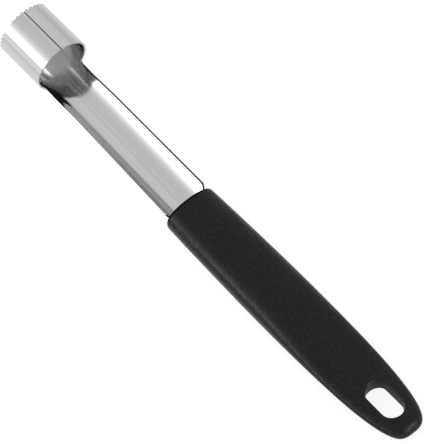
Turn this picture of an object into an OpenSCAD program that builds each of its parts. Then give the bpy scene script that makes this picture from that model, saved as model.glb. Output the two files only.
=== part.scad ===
// Apple corer: a rolled steel tube with a toothed edge, its channel-shaped shank and a moulded handle.
// Millimetres. The corer lies at rest on the handle's flat underside, teeth towards -X, channel open upwards.
// The origin is on the surface it lies on, below the middle of the whole length.

/* [Tube] */
// Outer diameter of the rolled tube
tube_d = 21; // [19:0.5:24]
// Length of the tube from the tooth tips to its rear edge
tube_len = 20.5; // [16:0.5:30]
// Thickness of the steel sheet
sheet_t = 0.7; // [0.5:0.1:1]
// Width of the open seam where the rolled sheet meets itself
seam_gap = 0.35; // [0.2:0.05:0.8]
// Number of scallops round the cutting edge
tooth_count = 32; // [20:2:40]
// Depth of the scallops
tooth_depth = 0.8; // [0.5:0.1:1.2]
// Radius of the rounded sheet corners where the seam meets the rear edge
seam_corner_r = 0.6; // [0.3:0.1:1]

/* [Shank] */
// Distance from the tooth tips to the front of the handle
reach = 84.9; // [70:0.1:110]
// Angle of the circle that the channel wraps where it leaves the tube
wrap_angle = 106; // [90:1:130]
// How far the channel's floor dips between the tube and the handle
shank_drop = 3.25; // [2:0.05:4]
// Width of the channel at the handle
shank_w = 18.4; // [16:0.1:19]
// Radius of the fillet between the tube's rear edge and the channel's rim
neck_fillet = 1.2; // [0.8:0.1:2]
// Radius of the sheet's shoulders in front of the handle
shoulder_r = 2.4; // [1.5:0.1:2.5]
// Width of the tang inside the handle
tang_w = 13; // [10:0.5:13.5]
// Length of the tang inside the handle
tang_len = 32; // [20:1:40]
// Radius of the tang's end corners
tang_corner_r = 3; // [1:0.5:4]

/* [Handle] */
// Length of the handle
handle_len = 113.8; // [100:0.1:130]
// Width across the front
front_w = 19.8; // [19:0.1:21.5]
// Width across the belly, the widest place
belly_w = 22.3; // [21:0.1:26]
// Distance from the front to the belly
belly_x = 62; // [45:1:70]
// Thickness of the front half, which is flat underneath
handle_t = 12.6; // [11:0.1:15]
// Thickness of the thin tail round the hanging slot
tail_t = 6.1; // [5:0.1:9]
// Distance from the front to where the thickness begins to fall
taper_x = 45; // [30:1:55]
// Radius of the rounded rim at the front
front_r = 1.6; // [0.8:0.1:2.5]
// Length of the rounding at the butt, seen from the side
butt_r = 3; // [2:0.1:4]
// Roundness of the cross section: 2 is an ellipse, more is squarer
section_power = 2.3; // [2:0.1:3]
// How long the plan outline stays wide behind the belly
tail_power = 2.5; // [2:0.1:3]
// How blunt the plan outline is at the butt: 0.5 is an ellipse, less is blunter
butt_power = 0.29; // [0.25:0.01:0.5]

/* [Hanging slot] */
// Length of the slot
slot_len = 15.8; // [12:0.1:17]
// Width of the slot
slot_w = 8.5; // [6:0.1:9.5]
// Distance from the middle of the slot to the butt
slot_back = 14.6; // [13.5:0.1:18]
// Radius of the rounded rim of the slot
slot_rim_r = 0.8; // [0.4:0.1:1.2]

/* [Fit] */
// Clearance round the tang in the handle and behind the shoulders
fit_gap = 0.05; // [0.02:0.01:0.2]

/* [Hidden] */
$fn = 96;
tube_r = tube_d / 2;
total_len = reach + handle_len;
front_x = reach - total_len / 2;
teeth_x = -total_len / 2;
mid_z = handle_t / 2;
axis_z = mid_z + tube_r;
cut_over = 1;
far_y = tube_d;

// Angles from straight down to the channel's rim, at the tube and at the handle
rim_angle = wrap_angle / 2;
fillet_bite = 0.03;
fillet_angle = rim_angle + asin((neck_fillet - fillet_bite) / tube_r);
shank_len = reach - tube_len;
dip_start = 0.3;
kink_x = tube_len + dip_start;
dip_angle = atan(shank_drop / (reach - kink_x));
// The dip shapes the sheet only below this depth, which is well above the channel's rim
dip_top = tube_r / 4;
rim_drop = shank_drop + sqrt(pow(tube_r, 2) - pow(shank_w / 2, 2)) / cos(dip_angle);
apex_drop = rim_drop - shank_w / 2 / tan(rim_angle);
blade_end = reach + tang_len;
shoulder_x = reach - fit_gap;

// A scallop is part of a cylinder that runs outwards; a narrow land is left at each tip
tip_land = 0.08;
tooth_chord = tube_r * sin(180 / tooth_count) - tip_land / 2;
scallop_r = (pow(tooth_chord, 2) + pow(tooth_depth, 2)) / (2 * tooth_depth);

// The handle is swept through rings that are closer where it curves faster. A ring's points are even
// about each side, so that narrow flat strips lie at the full width and thickness
ring_points = 60;
front_rings = 5;
body_rings = 26;
butt_rings = 12;
butt_zone = 10;
butt_last_angle = 88.5;
slot_x = handle_len - slot_back;
slot_margin = 0.5;
tail_x = slot_x - slot_len / 2 - slot_rim_r - slot_margin;
blend_len = tail_x - taper_x;

// Puts a shape that is drawn from the tooth tips along +X on the tube's axis
module along_axis() {
    translate([teeth_x, 0, axis_z])
        children();
}

// The cylinder that dips from the tube to the handle and on into it
module dipping_run(radius) {
    translate([kink_x, 0, 0])
        rotate([0, 90 + dip_angle, 0])
            translate([0, 0, -cut_over])
                cylinder(h = blade_end, r = radius);
}

// A round body that follows the tube and then, where the channel is, the dip
module sheet_body(radius, over) {
    translate([-over, 0, 0])
        rotate([0, 90, 0])
            cylinder(h = blade_end + 2 * over, r = radius);
    intersection() {
        dipping_run(radius);
        translate([tube_len, -far_y, -2 * far_y - dip_top])
            cube([blade_end, 2 * far_y, 2 * far_y]);
    }
}

// The sheet before it is cut
module rolled_sheet() {
    difference() {
        sheet_body(tube_r, 0);
        sheet_body(tube_r - sheet_t, cut_over);
    }
}

// A wedge that opens downwards from the axis and runs along +X
module wedge(length, angle) {
    low = 3 * tube_r;
    side = low * tan(angle);
    rotate([90, 0, 90])
        linear_extrude(length)
            polygon([[0, 0], [side, -low], [-side, -low]]);
}

// The region that stays sheet behind the tube: the channel and its two fillets, which bite a little
// past both edges that they join
module channel_region() {
    translate([tube_len, 0, 0])
        rotate([0, atan(apex_drop / shank_len), 0])
            translate([-cut_over, 0, 0])
                wedge(shank_len + 2 * cut_over, rim_angle);
    translate([reach, -far_y, -far_y])
        cube([tang_len + cut_over, 2 * far_y, far_y]);
    difference() {
        translate([tube_len - cut_over, 0, 0])
            wedge(neck_fillet + cut_over, fillet_angle);
        for (side = [-1, 1])
            rotate([side * fillet_angle, 0, 0])
                translate([tube_len + neck_fillet - fillet_bite, 0, -tube_r - cut_over])
                    cylinder(h = 2 * cut_over + sheet_t, r = neck_fillet);
    }
}

// Everything above the channel's rim is cut away behind the tube
module channel_cut() {
    difference() {
        translate([tube_len, -far_y, -far_y])
            cube([blade_end, 2 * far_y, 2 * far_y]);
        channel_region();
    }
}

// Plan outline of the sheet: full width, rounded shoulders, then the narrower tang
module sheet_plan() {
    shoulder_y = shank_w / 2 - shoulder_r;
    shoulder_start = shoulder_x - shoulder_r;
    translate([-cut_over, -far_y])
        square([shoulder_start + cut_over, 2 * far_y]);
    translate([0, -shoulder_y])
        square([shoulder_x, 2 * shoulder_y]);
    for (side = [-1, 1])
        translate([shoulder_start, side * shoulder_y])
            circle(shoulder_r);
    tang_plan(0);
}

// Plan outline of the tang, grown by a clearance for the pocket that holds it
module tang_plan(grow) {
    half = tang_w / 2 + grow;
    corner = tang_corner_r + grow;
    tip = blade_end + grow;
    translate([shoulder_x - shoulder_r, -half])
        square([tip - corner - shoulder_x + shoulder_r, 2 * half]);
    translate([tip - corner - cut_over, corner - half])
        square([corner + cut_over, 2 * (half - corner)]);
    for (side = [-1, 1])
        translate([tip - corner, side * (half - corner)])
            circle(corner);
}

module scallops() {
    for (i = [0 : tooth_count - 1])
        rotate([i * 360 / tooth_count, 0, 0])
            translate([tooth_depth - scallop_r, 0, tube_r - sheet_t - cut_over])
                cylinder(h = sheet_t + 2 * cut_over, r = scallop_r);
}

// The open seam on top, its two rear corners rounded
module seam() {
    translate([-cut_over, -seam_gap / 2, tube_r - sheet_t - cut_over])
        cube([tube_len + 2 * cut_over, seam_gap, sheet_t + 2 * cut_over]);
    for (side = [-1, 1])
        difference() {
            translate([tube_len - seam_corner_r, side * seam_gap / 2, tube_r - sheet_t - cut_over])
                mirror([0, side < 0 ? 1 : 0, 0])
                    translate([0, -seam_gap / 4, 0])
                        cube([seam_corner_r + cut_over, seam_corner_r + seam_gap / 4, sheet_t + 2 * cut_over]);
            translate([tube_len - seam_corner_r, side * (seam_gap / 2 + seam_corner_r), tube_r - sheet_t - 2 * cut_over])
                cylinder(h = sheet_t + 4 * cut_over, r = seam_corner_r);
        }
}

module blade() {
    color("silver")
        along_axis()
            difference() {
                intersection() {
                    rolled_sheet();
                    translate([0, 0, -far_y])
                        linear_extrude(2 * far_y)
                            sheet_plan();
                }
                channel_cut();
                scallops();
                seam();
            }
}

// Half width and half thickness of the handle at a distance x from its front
function plan_half(x) =
    x < belly_x
        ? belly_w / 2 - (belly_w - front_w) / 2 * pow(1 - x / belly_x, 2)
        : belly_w / 2 * pow(1 - pow((x - belly_x) / (handle_len - belly_x), tail_power), butt_power);

function blend(u) = u <= 0 ? 0 : u >= 1 ? 1 : u * u * (3 - 2 * u);

function side_half(x) = handle_t / 2 - (handle_t - tail_t) / 2 * blend((x - taper_x) / blend_len);

// The front rim is drawn in by a quarter circle, and the butt closes as half an ellipse
function front_inset(x) = x < front_r ? front_r - sqrt(pow(front_r, 2) - pow(front_r - x, 2)) : 0;

function butt_close(x) = x > handle_len - butt_r ? sqrt(1 - pow((x - handle_len) / butt_r + 1, 2)) : 1;

function rounded(c) = sign(c) * pow(abs(c), 2 / section_power);

function on_ring(c) = rounded(c) / rounded(cos(180 / ring_points));

function ring(x) = [
    for (i = [0 : ring_points - 1])
        let (a = 360 * (i + 0.5) / ring_points)
        [
            x,
            (plan_half(x) - front_inset(x)) * on_ring(cos(a)),
            (side_half(x) - front_inset(x)) * butt_close(x) * on_ring(sin(a))
        ]
];

ring_xs = concat(
    [for (i = [0 : front_rings]) front_r * (1 - cos(90 * i / front_rings))],
    [for (i = [1 : body_rings]) front_r + (handle_len - butt_zone - front_r) * i / body_rings],
    [for (i = [1 : butt_rings]) handle_len - butt_zone * (1 - sin(butt_last_angle * i / butt_rings))]
);

module handle_body() {
    last = len(ring_xs) - 1;
    n = ring_points;
    polyhedron(
        points = [for (x = ring_xs) each ring(x)],
        faces = concat(
            [[for (i = [0 : n - 1]) i]],
            [for (k = [0 : last - 1], i = [0 : n - 1]) [k * n + i, (k + 1) * n + i, k * n + (i + 1) % n]],
            [for (k = [0 : last - 1], i = [0 : n - 1])
                [k * n + (i + 1) % n, (k + 1) * n + i, (k + 1) * n + (i + 1) % n]],
            [[for (i = [0 : n - 1]) last * n + n - 1 - i]]
        )
    );
}

// Half profile of the hanging slot: a straight wall that flares into both faces of the tail
module slot_profile() {
    wall = slot_w / 2;
    face = tail_t / 2;
    difference() {
        translate([0, -face - cut_over])
            square([wall + slot_rim_r, 2 * (face + cut_over)]);
        translate([wall, slot_rim_r - face])
            square([2 * slot_rim_r, 2 * (face - slot_rim_r)]);
        for (side = [-1, 1])
            translate([wall + slot_rim_r, side * (face - slot_rim_r)])
                circle(slot_rim_r);
    }
}

module hanging_slot() {
    straight = slot_len - slot_w;
    for (side = [-1, 1])
        translate([slot_x + side * straight / 2, 0, 0])
            rotate_extrude()
                slot_profile();
    for (side = [0, 1])
        translate([slot_x - straight / 2, 0, 0])
            mirror([0, side, 0])
                rotate([90, 0, 90])
                    linear_extrude(straight)
                        slot_profile();
}

// The pocket follows the tang's arc with the fit clearance all round
module tang_pocket() {
    intersection() {
        difference() {
            dipping_run(tube_r + fit_gap);
            dipping_run(tube_r - sheet_t - fit_gap);
        }
        translate([0, 0, -far_y])
            linear_extrude(far_y)
                tang_plan(fit_gap);
    }
}

module handle() {
    color("dimgray")
        difference() {
            translate([front_x, 0, mid_z])
                difference() {
                    handle_body();
                    hanging_slot();
                }
            along_axis()
                tang_pocket();
        }
}

blade();
handle();
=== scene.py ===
import math

import bpy
from mathutils import Euler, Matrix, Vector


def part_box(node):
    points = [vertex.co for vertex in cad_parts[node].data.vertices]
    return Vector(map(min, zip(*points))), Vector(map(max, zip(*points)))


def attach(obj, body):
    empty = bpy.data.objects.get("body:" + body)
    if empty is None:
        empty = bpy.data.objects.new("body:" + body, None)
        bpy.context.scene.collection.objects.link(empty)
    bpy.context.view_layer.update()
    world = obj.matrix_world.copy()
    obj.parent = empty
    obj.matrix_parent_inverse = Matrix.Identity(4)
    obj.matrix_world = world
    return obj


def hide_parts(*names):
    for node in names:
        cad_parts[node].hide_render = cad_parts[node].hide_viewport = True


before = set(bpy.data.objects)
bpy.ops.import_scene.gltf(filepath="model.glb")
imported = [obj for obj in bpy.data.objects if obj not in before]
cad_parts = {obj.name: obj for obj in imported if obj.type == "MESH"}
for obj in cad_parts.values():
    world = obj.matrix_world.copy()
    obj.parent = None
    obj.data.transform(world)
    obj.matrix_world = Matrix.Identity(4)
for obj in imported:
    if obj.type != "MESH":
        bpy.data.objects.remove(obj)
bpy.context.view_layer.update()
scene = bpy.context.scene
mm = 0.001

bladeLow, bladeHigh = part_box("blade")
handleLow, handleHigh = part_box("handle")

# how the nodes are laid out in the editor
nodeSpacing = (220, 260)
nodesPerRow = 8

white = (1.0, 1.0, 1.0, 1.0)


# A number or another node's output goes into a socket
def feed(tree, socket, value):
    if isinstance(value, bpy.types.NodeSocket):
        tree.links.new(value, socket)
    else:
        socket.default_value = value


# options are the node's own settings, feeds go to its sockets by name or number
def place(tree, kind, options, feeds):
    node = tree.nodes.new(kind)
    for key, value in options.items():
        setattr(node, key, value)
    for key, value in feeds.items():
        feed(tree, node.inputs[key], value)
    return node


def calc(tree, operation, *values):
    return place(tree, "ShaderNodeMath", {"operation": operation}, dict(enumerate(values))).outputs[0]


def vectorCalc(tree, operation, *values):
    node = place(tree, "ShaderNodeVectorMath", {"operation": operation}, dict(enumerate(values)))
    return node.outputs["Value" if operation == "DOT_PRODUCT" else "Vector"]


def axesOf(tree, vector):
    return place(tree, "ShaderNodeSeparateXYZ", {}, {"Vector": vector}).outputs


# Carries the range start to end over to low to high, and holds it at both ends
def mapRange(tree, value, start, end, low=0.0, high=1.0, soft=False):
    node = place(tree, "ShaderNodeMapRange", {"interpolation_type": "SMOOTHSTEP" if soft else "LINEAR"}, {
        "Value": value, "From Min": start, "From Max": end, "To Min": low, "To Max": high})
    return node.outputs[0]


def noise(tree, position, scale, detail, roughness=0.5):
    node = place(tree, "ShaderNodeTexNoise", {}, {
        "Vector": position, "Scale": scale, "Detail": detail, "Roughness": roughness})
    return node.outputs[0]


def mixColours(tree, factor, first, second):
    node = place(tree, "ShaderNodeMix", {"data_type": "RGBA"}, {"Factor": factor, "A": first, "B": second})
    return node.outputs["Result"]


def mixShaders(tree, factor, first, second):
    return place(tree, "ShaderNodeMixShader", {}, {0: factor, 1: first, 2: second}).outputs[0]


# Nodes stand in rows, in the order they were made
def tidyTree(tree):
    for number, node in enumerate(tree.nodes):
        row, column = divmod(number, nodesPerRow)
        node.location = (nodeSpacing[0] * column, -nodeSpacing[1] * row)


def openTree(name, kind, inputs, outputs):
    tree = bpy.data.node_groups.new(name, kind)
    for label, socketKind in inputs.items():
        tree.interface.new_socket(label, in_out="INPUT", socket_type=socketKind)
    for label, socketKind in outputs.items():
        tree.interface.new_socket(label, in_out="OUTPUT", socket_type=socketKind)
    start = tree.nodes.new("NodeGroupInput")
    end = tree.nodes.new("NodeGroupOutput")
    return tree, start.outputs, end.inputs


# The modifier's inputs are set by their sockets' identifiers, before anything is evaluated
def useTree(obj, tree, values):
    modifier = obj.modifiers.new(tree.name, "NODES")
    modifier.node_group = tree
    for item in tree.interface.items_tree:
        if item.item_type == "SOCKET" and item.in_out == "INPUT" and item.name in values:
            modifier[item.identifier] = values[item.name]


def meshObject(name, points, faces):
    mesh = bpy.data.meshes.new(name)
    mesh.from_pydata(points, [], faces)
    mesh.validate()
    obj = bpy.data.objects.new(name, mesh)
    scene.collection.objects.link(obj)
    return obj


# Turns an object and its modifiers into one plain, smooth mesh
def bakeMesh(obj, sharpAngle):
    graph = bpy.context.evaluated_depsgraph_get()
    mesh = bpy.data.meshes.new_from_object(obj.evaluated_get(graph))
    obj.modifiers.clear()
    obj.data = mesh
    mesh.shade_smooth()
    mesh.set_sharp_from_angle(angle=math.radians(sharpAngle))


# The last nodes of a geometry tree: real geometry with its material
def finishTree(tree, geometry, material, output):
    real = place(tree, "GeometryNodeRealizeInstances", {}, {"Geometry": geometry})
    painted = place(tree, "GeometryNodeSetMaterial", {}, {"Geometry": real.outputs[0], "Material": material})
    feed(tree, output, painted.outputs[0])
    tidyTree(tree)


# Held between 0 and 1, with a soft start and end
def ease(u):
    u = min(max(u, 0.0), 1.0)
    return u * u * (3 - 2 * u)


# A quarter turn in equal steps, in radians, without its start at 0
def quarterTurn(steps):
    return [math.radians(90 * step / steps) for step in range(1, steps + 1)]


# noise values between which a patch fades in, and edge sharpness between which wear does
patchEdges = (0.42, 0.68)
wearEdges = (0.52, 0.62)


# Mask of the patches that handling leaves, for steel and plastic alike
def handlingMarks():
    tree, given, result = openTree(
        "handlingMarks",
        "ShaderNodeTree",
        {"Position": "NodeSocketVector", "Patch Size": "NodeSocketFloat", "Amount": "NodeSocketFloat"},
        {"Mask": "NodeSocketFloat"},
    )
    patches = noise(tree, given["Position"], calc(tree, "DIVIDE", 1.0, given["Patch Size"]), detail=3.0)
    worn = mapRange(tree, patches, *patchEdges, soft=True)
    feed(tree, result["Mask"], calc(tree, "MULTIPLY", worn, given["Amount"]))
    tidyTree(tree)
    return tree


# 1 along edges that stick out, broken up by noise
def edgeWear():
    tree, given, result = openTree(
        "edgeWear",
        "ShaderNodeTree",
        {"Position": "NodeSocketVector", "Grain Size": "NodeSocketFloat", "Amount": "NodeSocketFloat"},
        {"Mask": "NodeSocketFloat"},
    )
    pointiness = tree.nodes.new("ShaderNodeNewGeometry").outputs["Pointiness"]
    edges = mapRange(tree, pointiness, *wearEdges, soft=True)
    grain = noise(tree, given["Position"], calc(tree, "DIVIDE", 1.0, given["Grain Size"]), detail=2.0)
    broken = calc(tree, "MULTIPLY", edges, grain)
    feed(tree, result["Mask"], calc(tree, "MULTIPLY", broken, given["Amount"]))
    tidyTree(tree)
    return tree


def openMaterial(name):
    material = bpy.data.materials.new(name)
    material.use_nodes = True
    tree = material.node_tree
    position = tree.nodes.new("ShaderNodeTexCoord").outputs["Object"]
    return material, tree, tree.nodes["Principled BSDF"].inputs, position


def maskFrom(tree, group, feeds):
    node = tree.nodes.new("ShaderNodeGroup")
    node.node_tree = group
    for key, value in feeds.items():
        feed(tree, node.inputs[key], value)
    return node.outputs["Mask"]


marksGroup = handlingMarks()
wearGroup = edgeWear()
print("shared effects ready")


# lengths in metres, angles in degrees
blade = {
    "tubeRadius": 10.5 * mm,
    "tubeLength": 20.5 * mm,
    "sheet": 0.7 * mm,
    "seamGap": 0.22 * mm,
    "seamCorner": 0.6 * mm,
    "toothCount": 32,
    "toothDepth": 0.8 * mm,
    "toothRadius": 1.011 * mm,
    "toothFade": 3.0,  # in tooth depths, back from the edge
    "neckAngle": 53.0,
    "neckFillet": 1.2 * mm,
    "neckLength": 6.0 * mm,
    "reach": 85.7 * mm,
    "shankWidth": 18.4 * mm,
    "shankRadius": 10.15 * mm,
    "roundAngle": 62.0,
    "frontWallAngle": 40.0,
    "rearWallAngle": 52.5,
    "joggle": 0.15 * mm,
    "dip": 3.3 * mm,
    "levelLength": 17.0 * mm,
    "softness": 4.0 * mm,
    "shoulderRadius": 3.2 * mm,
    "shoulderStep": 0.05 * mm,
    "tangWidth": 13.0 * mm,
    "tangLength": 31.2 * mm,
    "tangCorner": 3.0 * mm,
    "edgeRounding": 0.045 * mm,
    "roundingSegments": 2,
    "sharpAngle": 50,
    # how finely the blank is divided; the tube's rows are shares of its length
    "columnsPerTooth": 10,
    "tubeRows": (0, 0.016, 0.036, 0.06, 0.09, 0.13, 0.18, 0.25, 0.33, 0.41, 0.49, 0.57, 0.65, 0.73, 0.8,
                 0.86, 0.91, 0.945),
    "seamCornerRows": 4,
    "filletRows": 8,
    "channelRows": 44,
    "shoulderRows": 8,
    "tangRows": 8,
    "tangCornerRows": 5,
}


# How far the sheet goes from its middle line to the rim, along the curve, for a given half width
def girth(radius, wallAngle, halfWidth):
    wall = math.radians(wallAngle)
    if radius * math.sin(wall) >= halfWidth:
        return radius * math.asin(halfWidth / radius)
    return radius * wall + (halfWidth - radius * math.sin(wall)) / math.cos(wall)


def neckHalfWidth(size):
    return size["tubeRadius"] * math.sin(math.radians(size["neckAngle"]))


# Half the blank's width at x, where the tube's round section settles into the channel's
def channelHalf(size, x):
    start = size["tubeLength"]
    neckHalf = neckHalfWidth(size)
    u = (x - start) / (size["reach"] - start)
    settled = ease((x - start) / size["neckLength"])
    half = neckHalf + (size["shankWidth"] / 2 - neckHalf) * u
    radius = size["tubeRadius"] + (size["shankRadius"] - size["tubeRadius"]) * settled
    wall = size["frontWallAngle"] + (size["rearWallAngle"] - size["frontWallAngle"]) * u
    return girth(radius, size["roundAngle"] + (wall - size["roundAngle"]) * settled, half)


# Rows of the flat blank behind the tube: place along the length, and half the blank's width there
def shankRows(size):
    start, reach = size["tubeLength"], size["reach"]
    fillet, corner = size["neckFillet"], size["tangCorner"]
    shoulder = reach - size["shoulderRadius"]
    rows = []
    for turn in quarterTurn(size["filletRows"]):
        x = start + fillet * (1 - math.cos(turn))
        rows.append((x, channelHalf(size, x) + fillet * (1 - math.sin(turn))))
    plain = size["channelRows"]
    for step in range(1, plain + 1):
        x = start + fillet + (shoulder - start - fillet) * step / plain
        rows.append((x, channelHalf(size, x)))
    # shoulders, tang and its rounded end are cut square to the plan, so they use plain half widths
    plan = []
    for turn in quarterTurn(size["shoulderRows"]):
        plan.append((shoulder + size["shoulderRadius"] * math.sin(turn),
                     size["shankWidth"] / 2 - size["shoulderRadius"] * (1 - math.cos(turn))))
    tangEnd = reach + size["tangLength"]
    plan.append((reach + size["shoulderStep"], size["tangWidth"] / 2))
    for step in range(1, size["tangRows"] + 1):
        plan.append((reach + (tangEnd - corner - reach) * step / size["tangRows"], size["tangWidth"] / 2))
    for turn in quarterTurn(size["tangCornerRows"]):
        plan.append((tangEnd - corner + corner * math.sin(turn),
                     size["tangWidth"] / 2 - corner * (1 - math.cos(turn))))
    for x, half in plan:
        rows.append((x, girth(size["shankRadius"], size["rearWallAngle"], half)))
    return rows


# The flat blank, cut to its outline: x along the tool, y across it, before it is rolled
def flatBlank(size):
    neck = girth(size["tubeRadius"], 90.0, neckHalfWidth(size)) + size["neckFillet"]
    halfTurn = math.pi * size["tubeRadius"]
    seamEdge = halfTurn - size["seamGap"] / 2
    perSide = size["toothCount"] * size["columnsPerTooth"] // 2 - 1
    neckColumn = round(neck / halfTurn * (perSide + 1))
    corner = size["seamCorner"]
    length = size["tubeLength"]

    def columnPlace(number):
        count = abs(number)
        if count <= neckColumn:
            y = neck * count / neckColumn
        else:
            y = neck + (seamEdge - neck) * (count - neckColumn) / (perSide - neckColumn)
        return math.copysign(y, number)

    cornerRows = size["seamCornerRows"]
    tubeRows = [length * share for share in size["tubeRows"]]
    tubeRows += [length - corner * (1 - step / cornerRows) for step in range(cornerRows + 1)]
    points = []
    for x in tubeRows:
        for number in range(-perSide, perSide + 1):
            y = columnPlace(number)
            a = (x - length + corner) / corner
            b = (abs(y) - seamEdge + corner) / corner
            if a > 0 and b > 0:  # the seam's rear corner is rounded
                roundX = length - corner + corner * a * math.sqrt(1 - b * b / 2)
                roundY = seamEdge - corner + corner * b * math.sqrt(1 - a * a / 2)
                points.append((roundX, math.copysign(roundY, y), 0))
            else:
                points.append((x, y, 0))
    wide = 2 * perSide + 1
    faces = []
    for row in range(len(tubeRows) - 1):
        for column in range(wide - 1):
            first = row * wide + column
            faces.append((first, first + 1, first + wide + 1, first + wide))
    # the shank's first row is the middle of the tube's last one
    before = (len(tubeRows) - 1) * wide + perSide - neckColumn
    narrow = 2 * neckColumn + 1
    for x, half in shankRows(size):
        first = len(points)
        for number in range(-neckColumn, neckColumn + 1):
            points.append((x, half * number / neckColumn, 0))
        for column in range(narrow - 1):
            faces.append((before + column, before + column + 1, first + column + 1, first + column))
        before = first
    return meshObject("blade", points, faces)


# Rolls a flat blank round the tool's axis and cuts the scallops into its front edge
def rollTree():
    tree, given, result = openTree(
        "rollSheet",
        "GeometryNodeTree",
        {
            "Geometry": "NodeSocketGeometry",
            "Tube Radius": "NodeSocketFloat",
            "Tube Length": "NodeSocketFloat",
            "Shank Radius": "NodeSocketFloat",
            "Reach": "NodeSocketFloat",
            "Neck Length": "NodeSocketFloat",
            "Round Angle": "NodeSocketFloat",
            "Front Wall Angle": "NodeSocketFloat",
            "Rear Wall Angle": "NodeSocketFloat",
            "Joggle": "NodeSocketFloat",
            "Dip": "NodeSocketFloat",
            "Level Length": "NodeSocketFloat",
            "Softness": "NodeSocketFloat",
            "Tooth Count": "NodeSocketInt",
            "Tooth Depth": "NodeSocketFloat",
            "Tooth Radius": "NodeSocketFloat",
            "Tooth Fade": "NodeSocketFloat",
            "Start": "NodeSocketVector",
            "Material": "NodeSocketMaterial",
        },
        {"Geometry": "NodeSocketGeometry"},
    )
    flat = axesOf(tree, tree.nodes.new("GeometryNodeInputPosition").outputs[0])
    along, across = flat["X"], flat["Y"]
    tubeEnd, reach = given["Tube Length"], given["Reach"]
    share = mapRange(tree, along, tubeEnd, reach)
    settled = mapRange(tree, along, tubeEnd, calc(tree, "ADD", tubeEnd, given["Neck Length"]), soft=True)
    radius = mapRange(tree, settled, 0.0, 1.0, given["Tube Radius"], given["Shank Radius"])
    # behind the tube the sheet is straight beyond the wall angle
    wall = mapRange(tree, share, 0.0, 1.0, given["Front Wall Angle"], given["Rear Wall Angle"])
    straightFrom = mapRange(tree, settled, 0.0, 1.0, given["Round Angle"], wall)
    hair = 0.01 * mm  # the tube's last row still counts as the tube
    isTube = calc(tree, "LESS_THAN", along, calc(tree, "ADD", tubeEnd, hair))
    limit = calc(tree, "MAXIMUM", straightFrom, calc(tree, "MULTIPLY", isTube, math.pi))
    turn = calc(tree, "MINIMUM", calc(tree, "DIVIDE", across, radius), limit)
    turn = calc(tree, "MAXIMUM", turn, calc(tree, "MULTIPLY", limit, -1.0))
    beyond = calc(tree, "SUBTRACT", across, calc(tree, "MULTIPLY", turn, radius))
    sine, cosine = calc(tree, "SINE", turn), calc(tree, "COSINE", turn)
    sideways = calc(tree, "ADD", calc(tree, "MULTIPLY", radius, sine), calc(tree, "MULTIPLY", beyond, cosine))
    # the floor of the channel steps down behind the tube, runs level for a bit and then dips evenly
    level = calc(tree, "ADD", tubeEnd, given["Level Length"])
    fall = calc(tree, "DIVIDE", calc(tree, "SUBTRACT", given["Dip"], given["Joggle"]),
                calc(tree, "SUBTRACT", reach, level))
    run = calc(tree, "SMOOTH_MAX", calc(tree, "SUBTRACT", along, level), 0.0, given["Softness"])
    lowered = calc(tree, "MULTIPLY_ADD", run, fall, calc(tree, "MULTIPLY", settled, given["Joggle"]))
    centre = calc(tree, "SUBTRACT", calc(tree, "SUBTRACT", radius, given["Tube Radius"]), lowered)
    upwards = calc(tree, "ADD", calc(tree, "SUBTRACT", centre, calc(tree, "MULTIPLY", radius, cosine)),
                   calc(tree, "MULTIPLY", beyond, sine))
    # scallops: part of a circle for each pitch, fading out behind the edge
    pitches = calc(tree, "DIVIDE", calc(tree, "MULTIPLY", turn, given["Tooth Count"]), 2 * math.pi)
    offCentre = calc(tree, "SUBTRACT", pitches, calc(tree, "ROUND", pitches))
    pitch = calc(tree, "DIVIDE", calc(tree, "MULTIPLY", radius, 2 * math.pi), given["Tooth Count"])
    chord = calc(tree, "MULTIPLY", offCentre, pitch)
    square = calc(tree, "SUBTRACT", calc(tree, "POWER", given["Tooth Radius"], 2.0),
                  calc(tree, "MULTIPLY", chord, chord))
    arc = calc(tree, "SQRT", calc(tree, "MAXIMUM", square, 0.0))
    foot = calc(tree, "SUBTRACT", given["Tooth Radius"], given["Tooth Depth"])
    notch = calc(tree, "MAXIMUM", calc(tree, "SUBTRACT", arc, foot), 0.0)
    fadeEnd = calc(tree, "MULTIPLY", given["Tooth Depth"], given["Tooth Fade"])
    fade = mapRange(tree, along, 0.0, fadeEnd, 1.0, 0.0)
    forward = calc(tree, "ADD", along, calc(tree, "MULTIPLY", notch, fade))
    rolled = place(tree, "ShaderNodeCombineXYZ", {}, {"X": forward, "Y": sideways, "Z": upwards})
    moved = vectorCalc(tree, "ADD", rolled.outputs[0], given["Start"])
    bent = place(tree, "GeometryNodeSetPosition", {}, {"Geometry": given["Geometry"], "Position": moved})
    finishTree(tree, bent.outputs[0], given["Material"], result["Geometry"])
    return tree


steelLook = {
    "colour": (0.53, 0.53, 0.535, 1.0),
    "dullColour": (0.47, 0.47, 0.475, 1.0),
    "dullShare": 0.6,
    "edgeShadeColour": (0.015, 0.015, 0.0155, 1.0),
    "edgeRoughness": 0.3,
    "roughness": 0.085,
    "roughnessSpread": 0.05,
    "lineLength": 30 * mm,
    "lineWidth": 0.45 * mm,
    "lineDepth": 0.0025 * mm,
    "waveSize": 6.25 * mm,
    "waveDepth": 0.012 * mm,
    "patchSize": 5.0 * mm,
    "patchShare": 0.5,
    "wearGrain": 0.4 * mm,
    "wearAmount": 0.8,
    "wearShare": 0.8,
    # the cut edges, which carry a dark painted shade; each pair is where a mask starts and where it ends
    "flatFacing": (0.65, 0.92),
    "endFacing": (0.5, 0.8),
    "shankFrom": 1.5 * mm,
    "shadeFromY": (-6 * mm, -4 * mm),
    "shadeBandWidth": 0.75 * mm,
    "shadeBandFade": 0.05 * mm,
    "seamShadeWidth": 0.09 * mm,
    "seamShadeFade": 0.03 * mm,
}
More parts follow.
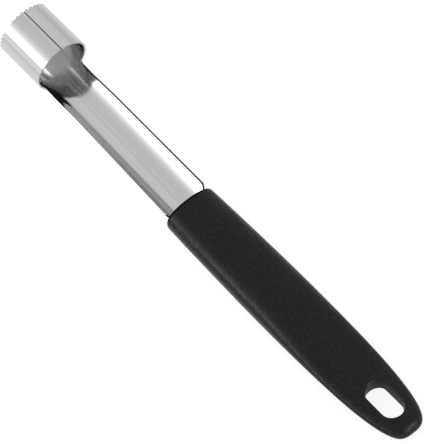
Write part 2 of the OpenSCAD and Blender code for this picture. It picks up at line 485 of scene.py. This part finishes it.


# 1 on the sheet's cut edges along the seam and the channel's +Y side, which stay dull and get a dark painted
# shade.
# The faces of the sheet look to or from the tube's axis, and the tube's own two ends look along it
def cutEdgeShade(tree, position, size, look):
    normal = tree.nodes.new("ShaderNodeTexCoord").outputs["Normal"]
    axisHeight = bladeHigh.z - size["tubeRadius"]
    tubeEnd, reachEnd = bladeLow.x + size["tubeLength"], bladeLow.x + size["reach"]
    fromAxis = vectorCalc(tree, "MULTIPLY_ADD", position, (0.0, 1.0, 1.0), (0.0, 0.0, -axisHeight))
    facing = vectorCalc(tree, "DOT_PRODUCT", normal, vectorCalc(tree, "NORMALIZE", fromAxis))
    notFlat = mapRange(tree, calc(tree, "ABSOLUTE", facing), *look["flatFacing"], 1.0, 0.0, soft=True)
    lengthwise = calc(tree, "ABSOLUTE", axesOf(tree, normal)["X"])
    notEnd = mapRange(tree, lengthwise, *look["endFacing"], 1.0, 0.0, soft=True)
    spot = axesOf(tree, position)
    isShank = calc(tree, "GREATER_THAN", spot["X"], tubeEnd + look["shankFrom"])
    # the channel's -Y edge, on which the light falls, is left out of the painted shade
    shadedEdge = calc(tree, "MULTIPLY", notFlat, mapRange(tree, spot["Y"], *look["shadeFromY"]))
    edge = calc(tree, "MULTIPLY", shadedEdge, calc(tree, "MAXIMUM", notEnd, isShank))
    # a narrow band of painted shade lies inside the +Y edge, and follows the shoulder's rounding
    rim = mapRange(tree, spot["X"], tubeEnd, reachEnd, neckHalfWidth(size), size["shankWidth"] / 2)
    corner = size["shoulderRadius"]
    past = calc(tree, "MAXIMUM", calc(tree, "SUBTRACT", spot["X"], reachEnd - corner), 0.0)
    square = calc(tree, "SUBTRACT", corner * corner, calc(tree, "MULTIPLY", past, past))
    drop = calc(tree, "SUBTRACT", corner, calc(tree, "SQRT", calc(tree, "MAXIMUM", square, 0.0)))
    inset = calc(tree, "ADD", calc(tree, "SUBTRACT", spot["Y"], rim), drop)
    shadeBand = mapRange(tree, inset, -look["shadeBandWidth"] - look["shadeBandFade"], -look["shadeBandWidth"])
    inside = calc(tree, "LESS_THAN", facing, 0.0)
    bandShade = calc(tree, "MULTIPLY", calc(tree, "MULTIPLY", shadeBand, isShank), inside)
    # painted shade lines the seam on the tube's outside, where the gap into the tube looks dark
    seamShadeReach = size["seamGap"] / 2 + look["seamShadeWidth"]
    seam = mapRange(tree, calc(tree, "ABSOLUTE", spot["Y"]),
                    seamShadeReach - look["seamShadeFade"], seamShadeReach + look["seamShadeFade"], 1.0, 0.0)
    above = calc(tree, "GREATER_THAN", spot["Z"], axisHeight)
    isOuterTube = calc(tree, "SUBTRACT", 1.0, calc(tree, "MAXIMUM", isShank, inside))
    seamShade = calc(tree, "MULTIPLY", calc(tree, "MULTIPLY", seam, above), isOuterTube)
    return calc(tree, "MAXIMUM", calc(tree, "MAXIMUM", edge, bandShade), seamShade)


# Polished sheet: fine lines along the length from rolling, and a slight waviness from forming
def polishedSteel(look, size):
    material, tree, shader, position = openMaterial("polishedSteel")
    stretch = place(tree, "ShaderNodeMapping", {}, {
        "Vector": position,
        "Scale": (1 / look["lineLength"], 1 / look["lineWidth"], 1 / look["lineWidth"])})
    lines = noise(tree, stretch.outputs[0], 1.0, detail=3.0, roughness=0.6)
    waves = noise(tree, position, 1 / look["waveSize"], detail=1.0)
    handled = maskFrom(tree, marksGroup, {
        "Position": position, "Patch Size": look["patchSize"], "Amount": 1.0})
    wear = maskFrom(tree, wearGroup, {
        "Position": position, "Grain Size": look["wearGrain"], "Amount": look["wearAmount"]})
    # painted shade on the cut edges, a band inside the +Y edge and the seam
    edge = cutEdgeShade(tree, position, size, look)
    lineTone = calc(tree, "MULTIPLY", lines, look["dullShare"])
    tone = mixColours(tree, lineTone, look["colour"], look["dullColour"])
    # where the mask is 1, the steel's colour gives way to the dark painted shade
    feed(tree, shader["Base Color"], mixColours(tree, edge, tone, look["edgeShadeColour"]))
    dull = calc(tree, "ADD", calc(tree, "MULTIPLY", handled, look["patchShare"]),
                calc(tree, "MULTIPLY", wear, look["wearShare"]))
    spread = calc(tree, "MULTIPLY_ADD", dull, look["roughnessSpread"], look["roughness"])
    lined = calc(tree, "MULTIPLY_ADD", lines, look["roughnessSpread"], spread)
    feed(tree, shader["Roughness"],
         calc(tree, "MAXIMUM", lined, calc(tree, "MULTIPLY", edge, look["edgeRoughness"])))
    wavy = place(tree, "ShaderNodeBump", {}, {
        "Strength": 1.0, "Distance": look["waveDepth"], "Height": waves})
    lineBump = place(tree, "ShaderNodeBump", {}, {
        "Strength": 1.0, "Distance": look["lineDepth"], "Height": lines, "Normal": wavy.outputs[0]})
    feed(tree, shader["Normal"], lineBump.outputs[0])
    shader["Metallic"].default_value = 1.0
    tidyTree(tree)
    return material


def buildBlade(size, material):
    obj = flatBlank(size)
    useTree(obj, rollTree(), {
        "Tube Radius": size["tubeRadius"],
        "Tube Length": size["tubeLength"],
        "Shank Radius": size["shankRadius"],
        "Reach": size["reach"],
        "Neck Length": size["neckLength"],
        "Round Angle": math.radians(size["roundAngle"]),
        "Front Wall Angle": math.radians(size["frontWallAngle"]),
        "Rear Wall Angle": math.radians(size["rearWallAngle"]),
        "Joggle": size["joggle"],
        "Dip": size["dip"],
        "Level Length": size["levelLength"],
        "Softness": size["softness"],
        "Tooth Count": size["toothCount"],
        "Tooth Depth": size["toothDepth"],
        "Tooth Radius": size["toothRadius"],
        "Tooth Fade": size["toothFade"],
        "Start": (bladeLow.x, 0.0, bladeHigh.z - size["tubeRadius"]),
        "Material": material,
    })
    wall = obj.modifiers.new("wall", "SOLIDIFY")
    wall.thickness = size["sheet"]
    wall.offset = -1.0
    wall.use_even_offset = True
    soft = obj.modifiers.new("softEdges", "BEVEL")
    soft.width = size["edgeRounding"]
    soft.segments = size["roundingSegments"]
    soft.limit_method = "ANGLE"
    soft.angle_limit = math.radians(size["sharpAngle"])
    soft.use_clamp_overlap = True
    bakeMesh(obj, size["sharpAngle"])
    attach(obj, "root")
    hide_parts("blade")
    print("blade:", len(obj.data.polygons), "faces")


buildBlade(blade, polishedSteel(steelLook, blade))


handle = {
    "frontPlace": 0.8 * mm,
    "frontWidth": 19.8 * mm,
    "bellyWidth": 22.3 * mm,
    "bellyPlace": 62.0 * mm,
    "thickness": 12.6 * mm,
    "tailThickness": 6.1 * mm,
    "taperStart": 45.0 * mm,
    "frontRounding": 1.6 * mm,
    "buttRounding": 3.0 * mm,
    "sectionPower": 2.3,
    "tailPower": 2.5,
    "buttPower": 0.29,
    "slotLength": 15.8 * mm,
    "slotWidth": 8.5 * mm,
    "slotFromButt": 14.6 * mm,
    "slotRim": 0.8 * mm,
    "slotNearRim": 1.0 * mm,
    "slotMargin": 0.5 * mm,
    "sharpAngle": 40,
    # how finely the handle is divided; the face's rings are shares of its half width and thickness
    "ringPoints": 112,
    "faceRings": (0.0, 0.35, 0.6, 0.8, 0.92),
    "roundingRings": 8,
    "bodyRings": 76,
    "buttRings": 24,
    "buttLength": 10 * mm,
    "slotEndSteps": 32,
    "slotRimSteps": 8,
    "cutterLift": 3 * mm,
}


def handleLength():
    return handleHigh.x - handleLow.x


def halfWidthAt(size, x):
    belly, full = size["bellyPlace"], size["bellyWidth"] / 2
    if x < belly:
        return full - (full - size["frontWidth"] / 2) * (1 - x / belly) ** 2
    u = min((x - belly) / (handleLength() - belly), 1.0)
    return full * (1 - u ** size["tailPower"]) ** size["buttPower"]


def halfThicknessAt(size, x):
    slotStart = handleLength() - size["slotFromButt"] - size["slotLength"] / 2
    tail = slotStart - size["slotRim"] - size["slotMargin"]
    eased = ease((x - size["taperStart"]) / (tail - size["taperStart"]))
    thin = size["thickness"] / 2 - (size["thickness"] - size["tailThickness"]) / 2 * eased
    fromEnd = (x - handleLength()) / size["buttRounding"] + 1
    return thin * math.sqrt(max(1 - fromEnd * fromEnd, 0.0)) if fromEnd > 0 else thin


# Stations along the handle: place, half width and half thickness, closed to a point at both ends
def handleStations(size):
    length, front, start = handleLength(), size["frontRounding"], size["frontPlace"]
    faceWidth, faceThickness = halfWidthAt(size, 0) - front, halfThicknessAt(size, 0) - front
    stations = [(start, share * faceWidth, share * faceThickness) for share in size["faceRings"]]
    for turn in [0.0] + quarterTurn(size["roundingRings"]):
        x = start + front * (1 - math.cos(turn))
        inset = front * (1 - math.sin(turn))
        stations.append((x, halfWidthAt(size, x) - inset, halfThicknessAt(size, x) - inset))
    body, butt = size["bodyRings"], size["buttLength"]
    places = [start + front + (length - butt - start - front) * step / body for step in range(1, body + 1)]
    places += [length - butt * (1 - math.sin(turn)) for turn in quarterTurn(size["buttRings"])]
    for x in places:
        stations.append((x, halfWidthAt(size, x), halfThicknessAt(size, x)))
    return stations


# Lofts oval rings through the stations
def loftTree():
    tree, given, result = openTree(
        "ringLoft",
        "GeometryNodeTree",
        {
            "Geometry": "NodeSocketGeometry",
            "Ring Points": "NodeSocketInt",
            "Section Power": "NodeSocketFloat",
            "Start": "NodeSocketVector",
            "Material": "NodeSocketMaterial",
        },
        {"Geometry": "NodeSocketGeometry"},
    )
    stationCount = place(tree, "GeometryNodeAttributeDomainSize", {}, {"Geometry": given["Geometry"]})
    ringSize = calc(tree, "ADD", given["Ring Points"], 1.0)
    grid = place(tree, "GeometryNodeMeshGrid", {}, {
        "Vertices X": stationCount.outputs["Point Count"], "Vertices Y": ringSize})
    index = tree.nodes.new("GeometryNodeInputIndex").outputs[0]
    # half an index keeps the division clear of whole numbers
    ring = calc(tree, "FLOOR", calc(tree, "DIVIDE", calc(tree, "ADD", index, 0.5), ringSize))
    step = calc(tree, "SUBTRACT", index, calc(tree, "MULTIPLY", ring, ringSize))
    station = place(tree, "GeometryNodeSampleIndex", {"data_type": "FLOAT_VECTOR", "domain": "POINT"}, {
        "Geometry": given["Geometry"],
        "Value": tree.nodes.new("GeometryNodeInputPosition").outputs[0],
        "Index": ring})
    sizes = axesOf(tree, station.outputs[0])
    turn = calc(tree, "DIVIDE", calc(tree, "MULTIPLY", step, 2 * math.pi), given["Ring Points"])
    softness = calc(tree, "DIVIDE", 2.0, given["Section Power"])

    def squared(value):
        return calc(tree, "MULTIPLY", calc(tree, "SIGN", value),
                    calc(tree, "POWER", calc(tree, "ABSOLUTE", value), softness))

    y = calc(tree, "MULTIPLY", sizes["Y"], squared(calc(tree, "COSINE", turn)))
    z = calc(tree, "MULTIPLY", sizes["Z"], squared(calc(tree, "SINE", turn)))
    spot = place(tree, "ShaderNodeCombineXYZ", {}, {"X": sizes["X"], "Y": y, "Z": z})
    moved = vectorCalc(tree, "ADD", spot.outputs[0], given["Start"])
    skin = place(tree, "GeometryNodeSetPosition", {}, {"Geometry": grid.outputs["Mesh"], "Position": moved})
    closed = place(tree, "GeometryNodeMergeByDistance", {}, {
        "Geometry": skin.outputs[0], "Distance": 0.002 * mm})
    finishTree(tree, closed.outputs[0], given["Material"], result["Geometry"])
    return tree


# The cutter for the hanging slot: a straight wall that rolls outwards where it meets either face
def slotCutter(size, middle):
    wall = size["slotWidth"] / 2
    straight = size["slotLength"] / 2 - wall
    rim = size["slotRim"]
    slotX = handleLength() - size["slotFromButt"]
    steps = size["slotEndSteps"]
    outline = []
    for end in (1, -1):
        for step in range(steps + 1):
            turn = math.radians(-90 + 180 * step / steps) + (0 if end > 0 else math.pi)
            outline.append((slotX + end * straight, math.cos(turn), math.sin(turn)))

    def faceHeight(x, y):
        half = halfWidthAt(size, x)
        flat = 1 - min(abs(y) / half, 1.0) ** size["sectionPower"]
        return halfThicknessAt(size, x) * flat ** (1 / size["sectionPower"])

    def ringAt(side, flare, lift):
        grow = rim * (1 - math.cos(flare))
        ring = []
        for x, cosine, sine in outline:
            reachX, reachY = x + (wall + rim) * cosine, (wall + rim) * sine
            height = faceHeight(reachX, reachY) - rim * (1 - math.sin(flare)) + lift
            # the end nearer the steel closes in by a longer rounding
            closer = size["slotNearRim"] * max(-cosine, 0.0) * math.cos(flare)
            ring.append((handleLow.x + x + closer + (wall + grow) * cosine, (wall + grow) * sine,
                         middle + side * height))
        return ring

    flares = [0.0] + quarterTurn(size["slotRimSteps"])
    rings = [ringAt(-1, flares[-1], size["cutterLift"])]
    rings += [ringAt(-1, flare, 0) for flare in reversed(flares)]
    rings += [ringAt(1, flare, 0) for flare in flares]
    rings.append(ringAt(1, flares[-1], size["cutterLift"]))
    count = len(outline)
    points = [point for ring in rings for point in ring]
    faces = [tuple(reversed(range(count)))]
    for row in range(len(rings) - 1):
        low, high = row * count, (row + 1) * count
        for step in range(count):
            after = (step + 1) % count
            faces.append((low + step, low + after, high + after, high + step))
    faces.append(tuple((len(rings) - 1) * count + step for step in range(count)))
    return meshObject("slotCutter", points, faces)


gripLook = {
    "colour": (0.002, 0.002, 0.0022, 1.0),
    "wornColour": (0.009, 0.009, 0.0095, 1.0),
    "reliefTone": 0.35,
    "roughness": 0.28,
    "roughnessSpread": 0.14,
    "reliefDullness": 0.6,
    "gloss": 0.185,
    "grainSize": 0.9 * mm,
    "grainDepth": 0.05 * mm,
    "fineGrain": 2.2,  # how many times finer than the grain
    "fineShare": 0.7,
    "blotchSize": 1.1 * mm,
    "blotchEdges": (0.35, 0.65),
    "blotchGloss": (0.7, 1.3),
    "patchSize": 13.33 * mm,
    "wearGrain": 0.5 * mm,
    "mouthShade": 1.5 * mm,
    "mouthFade": 0.7,  # share of mouthShade that is quite matt
    "faceEdge": (0.02 * mm, 0.12 * mm),
}


# Moulded plastic with a fine eroded grain that is a little polished where hands rub it
def grainedPlastic(look, size):
    material, tree, shader, position = openMaterial("grainedPlastic")
    grain = place(tree, "ShaderNodeTexVoronoi", {"feature": "SMOOTH_F1"}, {
        "Vector": position, "Scale": 1 / look["grainSize"], "Smoothness": 0.6})
    fine = noise(tree, position, look["fineGrain"] / look["grainSize"], detail=3.0, roughness=0.7)
    relief = calc(tree, "MULTIPLY_ADD", fine, look["fineShare"], grain.outputs[0])
    handled = maskFrom(tree, marksGroup, {
        "Position": position, "Patch Size": look["patchSize"], "Amount": 1.0})
    wear = maskFrom(tree, wearGroup, {
        "Position": position, "Grain Size": look["wearGrain"], "Amount": 1.0})
    lightness = calc(tree, "MAXIMUM", wear, calc(tree, "MULTIPLY", relief, look["reliefTone"]))
    feed(tree, shader["Base Color"], mixColours(tree, lightness, look["colour"], look["wornColour"]))
    rubbed = calc(tree, "SUBTRACT", calc(tree, "MULTIPLY", relief, look["reliefDullness"]), handled)
    feed(tree, shader["Roughness"],
         calc(tree, "MULTIPLY_ADD", rubbed, look["roughnessSpread"], look["roughness"]))
    bump = place(tree, "ShaderNodeBump", {}, {
        "Strength": 1.0, "Distance": look["grainDepth"], "Height": relief})
    feed(tree, shader["Normal"], bump.outputs[0])
    # the gloss is blotchy, and the rounding at the mouth loses its gloss: a painted shade where the plastic
    # meets the steel
    blotches = noise(tree, position, 1 / look["blotchSize"], detail=4.0, roughness=0.75)
    mottle = mapRange(tree, blotches, *look["blotchEdges"], *look["blotchGloss"])
    along = axesOf(tree, position)["X"]
    front = handleLow.x + size["frontPlace"]
    faceStart, faceEnd = look["faceEdge"]
    clear = mapRange(tree, along, front + look["mouthShade"] * look["mouthFade"], front + look["mouthShade"],
                     soft=True)
    face = mapRange(tree, along, front + faceStart, front + faceEnd, 1.0, 0.0)
    sheen = calc(tree, "MAXIMUM", clear, face)
    feed(tree, shader["Specular IOR Level"],
         calc(tree, "MULTIPLY", calc(tree, "MULTIPLY", mottle, look["gloss"]), sheen))
    tidyTree(tree)
    return material


def buildHandle(size, material):
    obj = meshObject("handle", handleStations(size), [])
    middle = (handleLow.z + handleHigh.z) / 2
    useTree(obj, loftTree(), {
        "Ring Points": size["ringPoints"],
        "Section Power": size["sectionPower"],
        "Start": (handleLow.x, 0.0, middle),
        "Material": material,
    })
    cutter = slotCutter(size, middle)
    cut = obj.modifiers.new("slot", "BOOLEAN")
    cut.operation = "DIFFERENCE"
    cut.solver = "EXACT"
    cut.object = cutter
    bakeMesh(obj, size["sharpAngle"])
    bpy.data.objects.remove(cutter)
    # the slot's walls take the handle's own material
    obj.data.materials.clear()
    obj.data.materials.append(material)
    for face in obj.data.polygons:
        face.material_index = 0
    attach(obj, "root")
    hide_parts("handle")
    print("handle:", len(obj.data.polygons), "faces")


buildHandle(handle, grainedPlastic(gripLook, handle))


studio = {
    "cameraPlace": (0.5647, -0.5017, 1.3118),
    "cameraTurn": (30.1924, -0.3085, 48.9727),
    "lens": 365.0,
    "sensor": 36,
    "clip": (0.1, 20),
    "floorHalf": 4.0,
    "floorGrey": 0.85,
    "floorGlow": 0.86,
    "floorShade": 0.19,
    "floorGlint": (0.3, 0.1),
    "glintEdges": (-0.04, 0.04),
    "floorBand": (-0.054, 0.018, 0.3),
    "surroundings": 0.85,
    "endLight": 7.0,
    "endLightRise": (0.4, 0.7),
    "endLightTurn": 30.0,
    "endLightEdges": (10.0, 22.0),
    "plainRise": (-0.28, 0.05),
    "plainShare": 0.75,
    "keyPlace": (-0.15, -0.9, 0.9),
    "keySize": 0.8,
    "keyPower": 6.0,
}

# What polished metal sees of the studio, by the angle round the tool: 0 is straight up, and -90 is level on
# the camera's side
tent = {
    -180: 1.1, -92: 1.0, -88: 0.9, -86: 1.6, -81: 4.5, -65: 4.5, -61: 3.0, -57: 2.1, -50: 1.6, -42: 1.27,
    -34: 1.09, -26: 0.97, -18: 0.95, -2: 0.93, 6: 0.93, 13: 1.02, 18: 1.0, 22: 0.82, 26: 1.0, 37: 1.02,
    61: 0.99, 69: 0.94, 76: 0.83, 85: 0.83, 91: 0.96, 100: 1.1, 180: 1.1,
}


def glow(tree, colour, strength):
    return place(tree, "ShaderNodeBackground", {}, {"Color": colour, "Strength": strength}).outputs[0]


# The tent's greys as a colour ramp over the whole turn
def tentRamp(tree, angle, stops):
    spot = mapRange(tree, angle, -math.pi, math.pi)
    ramp = place(tree, "ShaderNodeValToRGB", {}, {"Fac": spot})
    elements = ramp.color_ramp.elements
    ordered = sorted(stops.items())
    for number, (degrees, grey) in enumerate(ordered):
        where = (degrees + 180) / 360
        if number == 0:
            element = elements[0]
        elif number == len(ordered) - 1:
            element = elements[-1]
        else:
            element = elements.new(where)
        element.position = where
        element.color = (grey, grey, grey, 1.0)
    return ramp.outputs["Color"]


def buildWorld(setting, stops):
    world = bpy.data.worlds.new("studioTent")
    world.use_nodes = True
    scene.world = world
    tree = world.node_tree
    tree.nodes.clear()
    axes = axesOf(tree, tree.nodes.new("ShaderNodeTexCoord").outputs["Generated"])
    angle = calc(tree, "ARCTAN2", axes["Y"], axes["Z"])
    tone = tentRamp(tree, angle, stops)
    # a second light stands high beyond the butt of the handle
    end = mapRange(tree, axes["X"], *setting["endLightRise"], soft=True)
    offMiddle = calc(tree, "ABSOLUTE", calc(tree, "SUBTRACT", angle, math.radians(setting["endLightTurn"])))
    inner, outer = setting["endLightEdges"]
    narrow = mapRange(tree, offMiddle, math.radians(inner), math.radians(outer), 1.0, 0.0, soft=True)
    patch = calc(tree, "MULTIPLY", calc(tree, "MULTIPLY", end, narrow), setting["endLight"])
    # the long light ends above the handle, and the tent is plainer towards the butt
    plainer = mapRange(tree, axes["X"], *setting["plainRise"], 0.0, setting["plainShare"], soft=True)
    tentGlow = glow(tree, mixColours(tree, plainer, tone, white), calc(tree, "ADD", patch, 1.0))
    # only reflections see the tent, and the camera sees plain white
    path = tree.nodes.new("ShaderNodeLightPath").outputs
    around = glow(tree, white, setting["surroundings"])
    surroundings = mixShaders(tree, path["Is Glossy Ray"], around, tentGlow)
    seen = mixShaders(tree, path["Is Camera Ray"], surroundings, glow(tree, white, 1.0))
    output = tree.nodes.new("ShaderNodeOutputWorld")
    feed(tree, output.inputs["Surface"], seen)
    tidyTree(tree)


def diffuse(tree, grey):
    return place(tree, "ShaderNodeBsdfDiffuse", {}, {"Color": (grey, grey, grey, 1)}).outputs[0]


def buildFloor(setting):
    half = setting["floorHalf"]
    corners = [(-half, -half, 0), (half, -half, 0), (half, half, 0), (-half, half, 0)]
    obj = meshObject("floor", corners, [(0, 1, 2, 3)])
    material = bpy.data.materials.new("paleFloor")
    material.use_nodes = True
    tree = material.node_tree
    tree.nodes.clear()
    path = tree.nodes.new("ShaderNodeLightPath").outputs
    # the camera sees mostly glow, with a faint shadow on it
    body = mixShaders(tree, path["Is Camera Ray"], diffuse(tree, setting["floorGrey"]),
                      diffuse(tree, setting["floorShade"]))
    # the steel sees the floor a little brighter on the side where the light stands
    across = axesOf(tree, tree.nodes.new("ShaderNodeTexCoord").outputs["Object"])["Y"]
    glint = mapRange(tree, across, *setting["glintEdges"], *setting["floorGlint"])
    # reflections see a faint darker band in the floor's glow beside the tool, which the camera does not see
    middle, width, depth = setting["floorBand"]
    off = calc(tree, "ABSOLUTE", calc(tree, "SUBTRACT", across, middle))
    banded = calc(tree, "SUBTRACT", glint, mapRange(tree, off, 0.0, width, depth, 0.0, soft=True))
    strength = calc(tree, "MULTIPLY_ADD", path["Is Glossy Ray"], banded,
                    calc(tree, "MULTIPLY", path["Is Camera Ray"], setting["floorGlow"]))
    light = place(tree, "ShaderNodeEmission", {}, {"Color": white, "Strength": strength})
    both = place(tree, "ShaderNodeAddShader", {}, {0: body, 1: light.outputs[0]})
    output = tree.nodes.new("ShaderNodeOutputMaterial")
    feed(tree, output.inputs["Surface"], both.outputs[0])
    tidyTree(tree)
    obj.data.materials.append(material)


def buildLight(setting):
    light = bpy.data.lights.new("keyLight", "AREA")
    light.size = setting["keySize"]
    light.energy = setting["keyPower"]
    lamp = bpy.data.objects.new("keyLight", light)
    lamp.location = setting["keyPlace"]
    lamp.rotation_euler = (-lamp.location).to_track_quat("-Z", "Y").to_euler()
    lamp.visible_glossy = False
    scene.collection.objects.link(lamp)


def buildCamera(setting):
    camera = bpy.data.cameras.new("camera")
    camera.lens = setting["lens"]
    camera.sensor_width = setting["sensor"]
    camera.sensor_fit = "AUTO"
    camera.clip_start, camera.clip_end = setting["clip"]
    obj = bpy.data.objects.new("camera", camera)
    obj.location = setting["cameraPlace"]
    obj.rotation_euler = Euler([math.radians(turn) for turn in setting["cameraTurn"]])
    scene.collection.objects.link(obj)
    scene.camera = obj


buildWorld(studio, tent)
buildFloor(studio)
buildLight(studio)
buildCamera(studio)
scene.view_settings.view_transform = "Standard"
print("studio ready")
